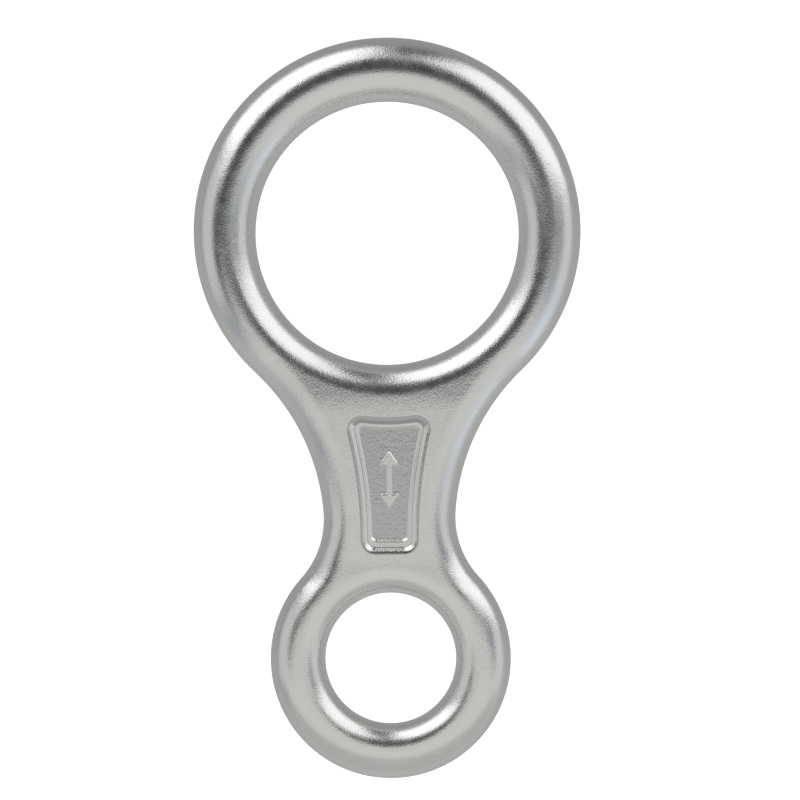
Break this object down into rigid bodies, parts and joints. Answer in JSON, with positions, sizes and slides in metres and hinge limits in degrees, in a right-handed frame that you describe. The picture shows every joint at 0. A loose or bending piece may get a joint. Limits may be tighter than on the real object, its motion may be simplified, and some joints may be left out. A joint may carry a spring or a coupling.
{
  "type": "figure-eight descender",
  "caption": "Forged figure-eight belay and abseil device: large round rope eye, waisted web with a recessed panel on each face, and small carabiner eye.",
  "frame": {"origin": "centre of the base of the bounding box, with the part lying flat", "axes": "+Y from the carabiner eye to the rope eye, +Z out of the marked front face, +X to the right of it"},
  "size_m": [0.0626, 0.12, 0.013],
  "materials": {
    "forged_aluminium": "tumble-polished satin with a fine grain, unpolished in the recess floors"
  },
  "bodies": {
    "root": {"figure_eight_body": "forged_aluminium"}
  },
  "joints": []
}
